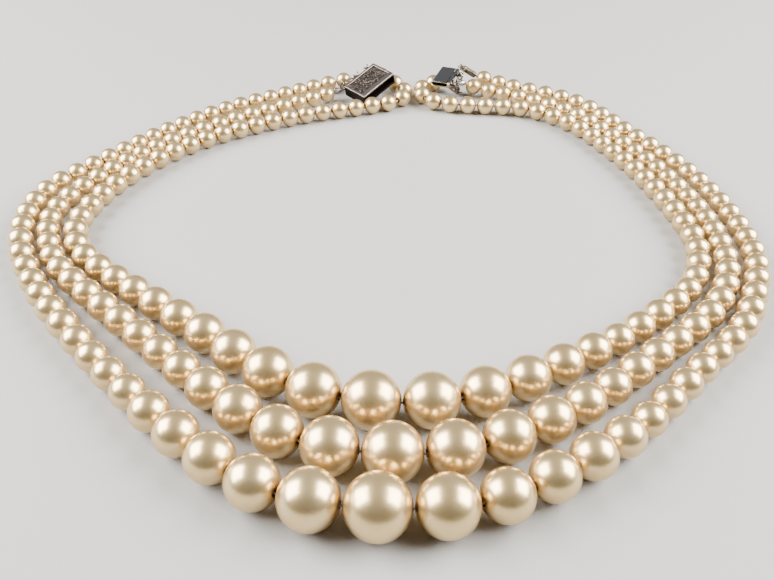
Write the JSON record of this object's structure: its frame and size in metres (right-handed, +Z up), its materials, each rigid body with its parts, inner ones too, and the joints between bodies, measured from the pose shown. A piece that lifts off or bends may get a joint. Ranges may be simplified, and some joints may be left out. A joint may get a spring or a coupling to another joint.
{
  "type": "multi strand necklace",
  "caption": "Pearl necklace of three graduated strands, lying open in a loop, with small silver end fittings and a box and tongue clasp that is undone at the back.",
  "frame": {"origin": "on the table, under the middle of the bounding box of the laid out necklace", "axes": "+Z up off the table, -Y towards the front of the loop with the largest pearls, +Y towards the open clasp at the back, +X to the wearer's left"},
  "size_m": [0.1592, 0.1644, 0.01],
  "materials": {
    "pearl": "pearl lustre coating, champagne cream",
    "thread": "twisted thread",
    "silver_fitting": "bright silver wire and end caps",
    "silver_box": "worn silver with dark tarnish in the ornament",
    "silver_tongue": "polished silver leaf"
  },
  "bodies": {
    "root": {"pearl_outer_l4": "pearl", "pearl_outer_l3": "pearl", "pearl_outer_l2": "pearl", "pearl_outer_l1": "pearl", "pearl_outer_0": "pearl", "pearl_outer_r1": "pearl", "pearl_outer_r2": "pearl", "pearl_outer_r3": "pearl", "pearl_outer_r4": "pearl", "pearl_middle_l4": "pearl", "pearl_middle_l3": "pearl", "pearl_middle_l2": "pearl", "pearl_middle_l1": "pearl", "pearl_middle_0": "pearl", "pearl_middle_r1": "pearl", "pearl_middle_r2": "pearl", "pearl_middle_r3": "pearl", "pearl_middle_r4": "pearl", "pearl_inner_l4": "pearl", "pearl_inner_l3": "pearl", "pearl_inner_l2": "pearl", "pearl_inner_l1": "pearl", "pearl_inner_0": "pearl", "pearl_inner_r1": "pearl", "pearl_inner_r2": "pearl", "pearl_inner_r3": "pearl", "pearl_inner_r4": "pearl", "string_outer_left": "pearl", "string_outer_right": "pearl", "string_middle_left": "pearl", "string_middle_right": "pearl", "string_inner_left": "pearl", "string_inner_right": "pearl", "tip_outer_left": "silver_fitting", "tip_outer_right": "silver_fitting", "tip_middle_left": "silver_fitting", "tip_middle_right": "silver_fitting", "tip_inner_left": "silver_fitting", "tip_inner_right": "silver_fitting", "link_outer_left": "silver_fitting", "link_outer_right": "silver_fitting", "link_middle_left": "silver_fitting", "link_middle_right": "silver_fitting", "link_inner_left": "silver_fitting", "link_inner_right": "silver_fitting", "thread_outer": "thread", "thread_middle": "thread", "thread_inner": "thread", "clasp_box": "silver_box", "clasp_tongue": "silver_tongue"}
  },
  "joints": []
}
